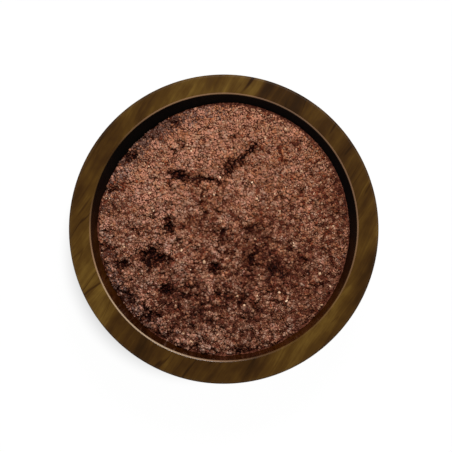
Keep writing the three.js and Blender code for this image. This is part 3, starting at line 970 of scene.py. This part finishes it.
def lump_tree():
    """A rough flattened ball on each point."""
    sockets = {"Flatness": "Float", "Seed": "Int", "Material": "Material"}
    tree, given = new_geometry_tree("Lumps", sockets)
    ball = add_node(tree, "GeometryNodeMeshIcoSphere", {"Radius": 1.0, "Subdivisions": 3})
    uneven = random_value(tree, "FLOAT_VECTOR", *LUMP_FORMS, given["Seed"])
    shape = vector_maths(tree, "MULTIPLY", uneven, combine(tree, 1.0, 1.0, given["Flatness"]))
    instance_inputs = {
        "Points": given["Geometry"],
        "Instance": ball.outputs["Mesh"],
        "Rotation": combine(tree, 0.0, 0.0, random_value(tree, "FLOAT", 0.0, FULL_TURN, given["Seed"])),
        "Scale": scaled(tree, shape, named_field(tree, "lump_radius")),
    }
    balls = realized(tree, add_node(tree, "GeometryNodeInstanceOnPoints", instance_inputs).outputs[0])
    rough = noise(tree, position_field(tree), LUMP_ROUGHNESS["scale"], 2.0)
    deepest, highest = LUMP_ROUGHNESS["in"] * MM, LUMP_ROUGHNESS["out"] * MM
    push = map_range(tree, rough, 0.25, 0.75, deepest, highest, "LINEAR")
    normal = add_node(tree, "GeometryNodeInputNormal").outputs[0]
    end_tree(tree, moved(tree, balls, scaled(tree, normal, push)), given["Material"])
    return tree


# Clods on clods: size and height as shares of the main ones, and how soft the crevices are.
CLOD_STEPS = (
    (2.1, 0.5, 0.6),
    (1.0, 0.9, 0.35),
    (0.52, 0.75, 0.1),
    (0.27, 0.5, 0.05),
)
CLOD_TOP = 0.76  # height at a clod's middle, as a share of its height
CLOD_FALL = -2.2  # by the square of the distance from its middle
CLOD_WARP = {"scale": 300.0, "reach": 2.4}
CLOD_PATCHES = {"scale": 110.0, "least": 0.6, "most": 1.25}
RELIEF = {"Clod Size": 3.6, "Clod Height": 0.85, "Bump Size": 0.6, "Bump Height": 0.28}
OPEN_DEPTHS = (-0.8, 1.2)  # depths between which the rub goes from fully open to fully shaded
OPEN_DIP = 0.55  # share of the dips along the wall that takes no light away
LOOSE_DEPTH = 0.4  # how far under the surface the mesh still counts as loose rub
LOOSE_WALL_ROOM = 0.5


def clods(tree, place, size, height, softness):
    """Rounded clods with crevices between them, of about the given size, as high as given."""
    inputs = {"Vector": place, "Scale": maths(tree, "DIVIDE", 1.0, size), "Smoothness": softness}
    distance = add_node(tree, "ShaderNodeTexVoronoi", inputs, feature="SMOOTH_F1").outputs["Distance"]
    squared = maths(tree, "MULTIPLY", distance, distance)
    return maths(tree, "MULTIPLY", maths(tree, "MULTIPLY_ADD", squared, CLOD_FALL, CLOD_TOP), height)


def warped_place(tree, place):
    """The places, drawn askew so that no clod has straight sides."""
    inputs = {"Vector": place, "Scale": CLOD_WARP["scale"], "Detail": 2.0}
    warp = add_node(tree, "ShaderNodeTexNoise", inputs).outputs["Color"]
    centred = vector_maths(tree, "SUBTRACT", warp, (0.5, 0.5, 0.5))
    return vector_maths(tree, "ADD", place, scaled(tree, centred, CLOD_WARP["reach"] * MM))


def relief_tree():
    """Raises clods and small bumps on the loose part of the heap, and stores how open each place is, which
    sets its painted shade.
    """
    sockets = {**dict.fromkeys(RELIEF, "Float"), "Material": "Material"}
    tree, given = new_geometry_tree("PowderRelief", sockets)
    place = position_field(tree)
    warped = warped_place(tree, place)
    push = 0.0
    for size_share, height_share, softness in CLOD_STEPS:
        size = maths(tree, "MULTIPLY", given["Clod Size"], size_share)
        height = maths(tree, "MULTIPLY", given["Clod Height"], height_share)
        push = maths(tree, "ADD", clods(tree, warped, size, height, softness), push)
    patches = noise(tree, place, CLOD_PATCHES["scale"], 1.0)
    patchy = map_range(tree, patches, 0.35, 0.65, CLOD_PATCHES["least"], CLOD_PATCHES["most"])
    push = maths(tree, "MULTIPLY", push, maths(tree, "MULTIPLY", patchy, named_field(tree, "coarseness")))
    bumps = noise(tree, place, maths(tree, "DIVIDE", 1.0, given["Bump Size"]), 2.0)
    bump = spread_noise(tree, bumps, -1, 1)
    push = maths(tree, "MULTIPLY_ADD", bump, given["Bump Height"], push)
    push = maths(tree, "MULTIPLY", push, named_field(tree, "loose"))
    depth = maths(tree, "SUBTRACT", named_field(tree, "pit"), push)
    openness = map_range(tree, depth, *[limit * MM for limit in OPEN_DEPTHS], 1.0, 0.0, "LINEAR")
    marked = store(tree, given["Geometry"], "openness", openness)
    end_tree(tree, moved(tree, marked, combine(tree, 0.0, 0.0, push)), given["Material"])
    return tree


def mesh_points(mesh):
    """The mesh's points as an array, in millimetres."""
    points = np.zeros(len(mesh.vertices) * 3, np.float32)
    mesh.vertices.foreach_get("co", points)
    return points.reshape(-1, 3) / MM


def mark_surface(mesh):
    """Stores what relief and grains go by: where the rub is loose, coarse and deep, where grains along the
    wall carry painted shade, and how much darker its patches are.
    """
    x, y, z = mesh_points(mesh).T
    above = z > rub_height(x, y) - LOOSE_DEPTH
    inside = np.hypot(x, y) < heap_radius_at(RUB_EDGE_LEVEL) - LOOSE_WALL_ROOM
    store_field(mesh, "loose", above & inside)
    store_field(mesh, "coarseness", coarseness_at(x, y))
    store_field(mesh, "pit", (pit_depth(x, y) - OPEN_DIP * wall_dip(x, y)) * MM)
    store_field(mesh, "wall_shade", wall_shade_share(x, y))
    store_field(mesh, "patch_darkening", darker_patch_share(x, y))


def join_meshes(name, first, second):
    """Joins the second object into the first."""
    with bpy.context.temp_override(active_object=first, selected_editable_objects=[first, second]):
        bpy.ops.object.join()
    first.name = name
    return first


def top_map(mesh):
    """A map for baking textures onto: the surface seen from above, with the sides drawn out round it."""
    layer = mesh.uv_layers.new(name="OFBake")
    loops = np.zeros(len(mesh.loops), np.int32)
    mesh.loops.foreach_get("vertex_index", loops)
    points = mesh_points(mesh)
    below = np.clip(UNDERSIDE_TOP - points[:, 2], 0, None)
    radius = np.hypot(points[:, 0], points[:, 1]) + 1e-6
    drawn_out = heap_radius_at(RUB_EDGE_LEVEL) + below * UNDERSIDE_ON_MAP
    stretch = np.where(below > 0, drawn_out / radius, 1.0)
    flat = points[:, :2] * stretch[:, None] / (2 * RIM_RADIUS) + 0.5
    layer.data.foreach_set("uv", flat[loops].ravel())


def make_heap(powder):
    """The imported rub: its skin with lumps on it, raised into clods and bumps."""
    skin = plain_object("heap_skin", heap_mesh())
    lump_values = {"Flatness": LUMP_FLATNESS, "Seed": SEED, "Material": powder}
    lumps = run_tree("lumps", lump_points_mesh(), lump_tree(), lump_values)
    joined = join_meshes("heap_and_lumps", skin, lumps)
    mark_surface(joined.data)
    values = {name: size * MM for name, size in RELIEF.items()}
    heap = run_tree("packed_rub", joined.data, relief_tree(), {**values, "Material": powder})
    bpy.data.objects.remove(joined)
    top_map(heap.data)
    return heap


# ---- Loose grains ----

GRAIN_SHAPES = 6
GRAIN_SPACING = 0.42  # least distance between the middles of two grains
GRAIN_LIFT = 0.4  # how far grains are lifted or sunk, as a share of their size
LIFT_DRAWS = (-0.6, 1.0)
GRAIN_FORMS = ((0.8, 0.7, 0.6), (1.2, 1.05, 1.0))  # least and most stretch along each axis
GRAIN_TURNS = ((-0.5, -0.5, 0), (0.5, 0.5, FULL_TURN))  # least and most turn round each axis, in radians
CHIP_ROUGHNESS = {"step": 3.7, "scale": 1.3, "in": 0.5, "out": 1.5}
SIZE_FALL = 2.0  # above 1, small grains outnumber large ones
CREVICE_SHARE = 0.5  # share of the grains that is left down in the crevices
CLUMPING = 0.6  # how much like grains lie together, from 0 to 1
CLUMP_SCALE = 620.0
CLUMP_SPREAD = (-0.15, 1.15)  # a little past 0 and 1, so that the first and last kinds form clumps too
PALE_SHARE = 0.012
TOP_LIGHT = {"lean": -0.35, "slope": 0.28}  # painted light: paler towards the top of the view, and a little to the left
WARMTH = {"lean": 0.25, "slope": 0.30}  # warmer towards the top, and a little to the right
KIND_PATCHES = {"scale": 190.0, "reach": 0.18}  # paler patches, by what they change of a grain's kind
SHADE_PATCHES = {"scale": 90.0, "reach": 0.08}  # and of its shade
WARM_PATCHES = {"scale": 240.0, "cool": 0.27, "warm": 0.73}
WARMTH_CHANCE = 0.5
SHADE_BY_OPENNESS = {"factor": 0.9, "least": 0.06}
SHADE_CHANCE = {"factor": 0.5, "least": 0.12}  # how far the shade varies by chance, by the rub's coarseness
MAP_EDGES = (0.01, 0.98)  # where on their map the grains' spots start and end
MAP_SPOT = 0.004  # size of a grain's spot on its map
# Kinds of grain: how much of the kind draw is theirs, smallest and largest size, flatness, gloss, and
# colours from greyish to warm. The last two kinds take the place of the others by draws of their own.
GRAIN_KINDS = {
    "dark_grains": (0.10, 0.65, 1.05, 0.65, 0.1, ((68, 36, 27), (76, 34, 20), (84, 31, 13))),
    "red_grains": (0.10, 0.65, 1.1, 0.55, 0.1, ((98, 56, 44), (106, 53, 35), (114, 50, 26))),
    "brown_grains": (0.33, 0.65, 1.2, 0.65, 0.1, ((119, 84, 68), (127, 82, 60), (135, 80, 50))),
    "tan_grains": (0.21, 0.65, 1.2, 0.6, 0.12, ((133, 101, 86), (138, 99, 78), (142, 98, 70))),
    "rosy_grains": (0.26, 0.65, 1.2, 0.6, 0.12, ((144, 100, 85), (149, 98, 77), (153, 97, 70))),
    "pale_grains": (1.0, 0.5, 1.3, 0.5, 0.2, ((165, 126, 96), (190, 150, 118), (208, 174, 144))),
    # painted shade: darker, greyer grains along the wall
    "wall_shaded_grains": (1.0, 0.65, 1.2, 0.6, 0.1, ((84, 60, 53), (94, 66, 56), (104, 71, 58))),
}


def uphill(tree, place, trend):
    """A field that grows towards the top of the view, leaning to one side."""
    axes = split(tree, place)
    return maths(tree, "MULTIPLY_ADD", axes["X"], trend["lean"], axes["Y"])


def paleness(tree, patches):
    """A patchy field about 0, higher towards the top of the bowl as painted light, where the rub is paler,
    and lower in its darker patches.
    """
    place = position_field(tree)
    patch = noise(tree, place, patches["scale"], 2.0)
    patchy = spread_noise(tree, patch, -patches["reach"], patches["reach"])
    # painted light: the rub is made paler towards the top of the view
    slope = TOP_LIGHT["slope"] / (RIM_RADIUS * MM)
    lightened = maths(tree, "MULTIPLY_ADD", uphill(tree, place, TOP_LIGHT), slope, patchy)
    return maths(tree, "SUBTRACT", lightened, named_field(tree, "patch_darkening"))


def warmth(tree, chance):
    """From 0 for greyish grains to 1 for warm brown ones, which lie in patches and towards the top."""
    place = position_field(tree)
    patch = noise(tree, place, WARM_PATCHES["scale"], 2.0)
    patchy = spread_noise(tree, patch, WARM_PATCHES["cool"], WARM_PATCHES["warm"])
    slope = WARMTH["slope"] / (RIM_RADIUS * MM)
    warm = maths(tree, "MULTIPLY_ADD", uphill(tree, place, WARMTH), slope, patchy)
    return maths(tree, "MULTIPLY_ADD", maths(tree, "SUBTRACT", chance, 0.5), WARMTH_CHANCE, warm)


def grain_share(tree):
    """Loose grains lie on the open surface, and fewer of them down in the crevices."""
    loose = maths(tree, "GREATER_THAN", named_field(tree, "loose"), 0.3)
    share = map_range(tree, named_field(tree, "openness"), 0.0, 0.5, CREVICE_SHARE, 1.0)
    return maths(tree, "MULTIPLY", loose, share)


def kind_draw(tree, seed):
    """What settles each grain's kind: usual kinds up to 1, dark ones first, then pale, then the greyish ones
    of painted shade along the wall.
    """
    chance = random_value(tree, "FLOAT", 0.02, 0.98, seed)
    clump = noise(tree, position_field(tree), CLUMP_SCALE, 0.0)
    clumped = spread_noise(tree, clump, *[share * CLUMPING for share in CLUMP_SPREAD])
    draw = maths(tree, "MULTIPLY_ADD", chance, 1.0 - CLUMPING, clumped)
    usual = maths(tree, "ADD", draw, paleness(tree, KIND_PATCHES), clamp=True)
    pale_draw = random_value(tree, "FLOAT", 0.0, 1.0, maths(tree, "ADD", seed, 20))
    pale = maths(tree, "LESS_THAN", pale_draw, PALE_SHARE)
    wall_shade_draw = random_value(tree, "FLOAT", 0.02, 0.98, maths(tree, "ADD", seed, 30))
    wall_shaded = maths(tree, "GREATER_THAN", named_field(tree, "wall_shade"), wall_shade_draw)
    kind = maths(tree, "MULTIPLY_ADD", usual, 0.999, pale)
    return maths(tree, "MULTIPLY_ADD", wall_shaded, 2.0, kind)


def map_spot(tree, seed):
    """A grain's place on its map, by how warm, pale and open its place is, which paints its light and shade,
    and by chance.
    """
    chance = split(tree, random_value(tree, "FLOAT_VECTOR", (0, 0, 0), (1, 1, 0), seed))
    by_openness, least = SHADE_BY_OPENNESS["factor"], SHADE_BY_OPENNESS["least"]
    open_part = maths(tree, "MULTIPLY_ADD", named_field(tree, "openness"), by_openness, least)
    place_part = maths(tree, "ADD", open_part, paleness(tree, SHADE_PATCHES))
    by_coarseness, least = SHADE_CHANCE["factor"], SHADE_CHANCE["least"]
    reach = maths(tree, "MULTIPLY_ADD", named_field(tree, "coarseness"), by_coarseness, least)
    shade = maths(tree, "MULTIPLY_ADD", maths(tree, "SUBTRACT", chance["Y"], 0.5), reach, place_part)
    parts = (warmth(tree, chance["X"]), shade)
    spot = [map_range(tree, part, *MAP_EDGES, *MAP_EDGES, "LINEAR") for part in parts]
    return combine(tree, *spot, 0.0)


def grain_shape(tree, shape, flatness):
    """One rough chip, a ball with few faces pushed out of round by noise."""
    ball = add_node(tree, "GeometryNodeMeshIcoSphere", {"Radius": 1.0, "Subdivisions": 1}).outputs
    mapped = store(tree, ball["Mesh"], "facet", ball["UV Map"], "FLOAT_VECTOR", "CORNER")
    place = position_field(tree)
    step, scale = CHIP_ROUGHNESS["step"] * shape, CHIP_ROUGHNESS["scale"]
    noise_inputs = {"Vector": place, "W": step, "Scale": scale, "Detail": 1.0}
    uneven = add_node(tree, "ShaderNodeTexNoise", noise_inputs, noise_dimensions="4D").outputs["Fac"]
    push = map_range(tree, uneven, 0.25, 0.75, CHIP_ROUGHNESS["in"], CHIP_ROUGHNESS["out"], "LINEAR")
    rough = scaled(tree, place, push)
    squeezed = vector_maths(tree, "MULTIPLY", rough, combine(tree, 1.0, 1.0, flatness))
    chip = smoothed(tree, placed_at(tree, mapped, squeezed))
    return add_node(tree, "GeometryNodeGeometryToInstance", {"Geometry": chip}).outputs[0]


def kept_kind(tree, points, kind, kind_from, kind_to):
    """Only the points whose kind is in the range."""
    above = maths(tree, "GREATER_THAN", kind, kind_from)
    below = maths(tree, "LESS_THAN", kind, kind_to)
    other = maths(tree, "LESS_THAN", maths(tree, "MULTIPLY", above, below), 0.5)
    inputs = {"Geometry": points, "Selection": other}
    return add_node(tree, "GeometryNodeDeleteGeometry", inputs, domain="POINT").outputs[0]


def grain_map(tree, grains):
    """Stores each grain's own small spot of the map, with its facets spread over the spot."""
    facet = scaled(tree, named_field(tree, "facet", "FLOAT_VECTOR"), MAP_SPOT)
    spot = vector_maths(tree, "ADD", named_field(tree, "spot", "FLOAT_VECTOR"), facet)
    mapped = store(tree, grains, "OFBake", spot, "FLOAT2", "CORNER")
    for name in ("facet", "spot"):
        mapped = add_node(tree, "GeometryNodeRemoveAttribute", {"Geometry": mapped, "Name": name}).outputs[0]
    return mapped


def grain_tree():
    """Rough chips half sunk in the heap. All kinds share one scatter, and each run keeps one kind."""
    numbers = ("Spacing", "Kind From", "Kind To", "Smallest", "Largest", "Flatness", "Lift")
    sockets = {**dict.fromkeys(numbers, "Float"), "Seed": "Int", "Material": "Material"}
    tree, given = new_geometry_tree("LooseGrains", sockets)
    shapes = tree.nodes.new("GeometryNodeJoinGeometry")
    for shape in range(GRAIN_SHAPES):
        tree.links.new(grain_shape(tree, shape, given["Flatness"]), shapes.inputs[0])
    kind_seed, size_seed, form_seed, turn_seed, lift_seed, pick_seed, spot_seed = [
        maths(tree, "ADD", given["Seed"], step) for step in range(1, 8)
    ]
    crowded = maths(tree, "DIVIDE", 1.0, maths(tree, "MULTIPLY", given["Spacing"], given["Spacing"]))
    scatter_inputs = {
        "Mesh": given["Geometry"],
        "Distance Min": given["Spacing"],
        "Density Max": crowded,
        "Density Factor": grain_share(tree),
        "Seed": given["Seed"],
    }
    scatter = add_node(
        tree, "GeometryNodeDistributePointsOnFaces", scatter_inputs, distribute_method="POISSON"
    )
    kind = kind_draw(tree, kind_seed)
    kept = kept_kind(tree, scatter.outputs["Points"], kind, given["Kind From"], given["Kind To"])
    draw = maths(tree, "POWER", random_value(tree, "FLOAT", 0.0, 1.0, size_seed), SIZE_FALL)
    span = maths(tree, "SUBTRACT", given["Largest"], given["Smallest"])
    size = maths(tree, "MULTIPLY_ADD", draw, span, given["Smallest"])
    uneven = random_value(tree, "FLOAT_VECTOR", *GRAIN_FORMS, form_seed)
    lift_draw = random_value(tree, "FLOAT", *LIFT_DRAWS, lift_seed)
    lift = maths(tree, "MULTIPLY", maths(tree, "MULTIPLY", lift_draw, given["Lift"]), size)
    instance_inputs = {
        "Points": moved(tree, kept, combine(tree, 0.0, 0.0, lift)),
        "Instance": shapes.outputs[0],
        "Pick Instance": True,
        "Instance Index": random_value(tree, "INT", 0, GRAIN_SHAPES - 1, pick_seed),
        "Rotation": random_value(tree, "FLOAT_VECTOR", *GRAIN_TURNS, turn_seed),
        "Scale": scaled(tree, uneven, maths(tree, "MULTIPLY", size, 0.5)),
    }
    placed = add_node(tree, "GeometryNodeInstanceOnPoints", instance_inputs).outputs[0]
    marked = store(tree, placed, "spot", map_spot(tree, spot_seed), "FLOAT_VECTOR", "INSTANCE")
    end_tree(tree, grain_map(tree, realized(tree, marked)), given["Material"])
    return tree


def make_grains(heap):
    """The loose grains, as one piece for each kind."""
    tree = grain_tree()
    pieces = []
    kind_from = 0.0
    for name, (share, smallest, largest, flatness, gloss, colours) in GRAIN_KINDS.items():
        values = {
            "Spacing": GRAIN_SPACING * MM,
            "Kind From": kind_from - 1e-4,
            "Kind To": kind_from + share,
            "Smallest": smallest * MM,
            "Largest": largest * MM,
            "Flatness": flatness,
            "Lift": GRAIN_LIFT,
            "Seed": SEED,
            "Material": grain_material(name + "_finish", colours, gloss),
        }
        pieces.append(run_tree(name, heap.data, tree, values))
        kind_from += share
    return pieces


# ---- Camera, light and floor ----

CAMERA_DISTANCE = 600.0  # from the rim
PIXEL = 0.3226  # width of one pixel of the photograph at the rim
PHOTO_SIZE = 452
BOWL_IN_PHOTO = (223.75, 228.5)  # the bowl's middle in pixels, from the top left
CAMERA_TILT = math.radians(2.5)  # towards the bottom of the view
# The floor's light: full away from the bowl, less next to it as a painted shadow, round a middle towards the
# bottom left.
FLOOR_LIGHT = {"middle": (-10.5, -6.0), "near": 35.0, "far": 47.0, "shaded": 0.53, "full": 0.985}
FLOOR_HALF = 3000.0
STUDIO_COLOUR = (1.0, 0.96, 0.92, 1)
STUDIO_STRENGTH = 0.4


def look_at(thing, target):
    thing.rotation_euler = (Vector(target) - thing.location).to_track_quat("-Z", "Y").to_euler()


def make_camera():
    """The photograph's view, from almost straight above."""
    centre = PHOTO_SIZE / 2
    across, up = (centre - BOWL_IN_PHOTO[0]) * PIXEL, (BOWL_IN_PHOTO[1] - centre) * PIXEL
    target = Vector((across, up, BOWL_HEIGHT)) * MM
    data = bpy.data.cameras.new("camera")
    data.sensor_width = 36.0
    data.lens = data.sensor_width * CAMERA_DISTANCE / (PHOTO_SIZE * PIXEL)
    data.clip_start = 0.01
    data.clip_end = 20.0
    camera = plain_object("camera", data)
    offset = Vector((0, -math.sin(CAMERA_TILT), math.cos(CAMERA_TILT)))
    camera.location = target + offset * CAMERA_DISTANCE * MM
    look_at(camera, target)
    bpy.context.scene.camera = camera


def add_light(name, azimuth, elevation, distance, size, power):
    """A square soft light that faces the rub, in metres and watts. The azimuth goes from +X towards +Y."""
    data = bpy.data.lights.new(name, "AREA")
    data.size = size
    data.energy = power
    light = plain_object(name, data)
    a, e = math.radians(azimuth), math.radians(elevation)
    direction = Vector((math.cos(a) * math.cos(e), math.sin(a) * math.cos(e), math.sin(e)))
    target = Vector((0, 0, BOWL_HEIGHT * MM))
    light.location = target + distance * direction
    look_at(light, target)
    light.visible_camera = False


def floor_material():
    """Pale, with light of its own, a little less of it next to the bowl, where it is shaded."""
    material, tree, shader = new_material("pale_floor")
    shader.inputs["Base Color"].default_value = (0.02, 0.02, 0.02, 1)
    shader.inputs["Roughness"].default_value = 1.0
    shader.inputs["Specular IOR Level"].default_value = 0.0
    shader.inputs["Emission Color"].default_value = (1, 1, 1, 1)
    middle_x, middle_y = FLOOR_LIGHT["middle"]
    middle = (middle_x * MM, middle_y * MM, 0.0)
    distance = length(tree, vector_maths(tree, "SUBTRACT", object_place(tree), middle))
    near, far = FLOOR_LIGHT["near"] * MM, FLOOR_LIGHT["far"] * MM
    strength = map_range(tree, distance, near, far, FLOOR_LIGHT["shaded"], FLOOR_LIGHT["full"])
    wire(tree, shader.inputs["Emission Strength"], strength)
    return material


def make_floor():
    mesh = bpy.data.meshes.new("floor")
    half = FLOOR_HALF * MM
    corners = [(-half, -half, 0), (half, -half, 0), (half, half, 0), (-half, half, 0)]
    mesh.from_pydata(corners, [], [(0, 1, 2, 3)])
    mesh.materials.append(floor_material())
    plain_object("floor", mesh)


def make_world():
    """Even soft light from all round."""
    world = bpy.data.worlds.new("studio")
    world.use_nodes = True
    background = world.node_tree.nodes["Background"]
    background.inputs["Color"].default_value = STUDIO_COLOUR
    background.inputs["Strength"].default_value = STUDIO_STRENGTH
    bpy.context.scene.world = world


# ---- The whole scene ----

make_camera()
make_world()
make_floor()
add_light("key", azimuth=76, elevation=64, distance=0.8, size=0.16, power=6.0)
add_light("side", azimuth=236, elevation=13, distance=0.42, size=0.12, power=0.22)
bpy.context.scene.view_settings.view_transform = "Standard"

bowl = make_bowl()
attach(bowl, "root")
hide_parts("bowl")

heap = make_heap(powder_material())
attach(heap, "root")
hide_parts("spice_rub")

for grains in make_grains(heap):
    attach(grains, "root")
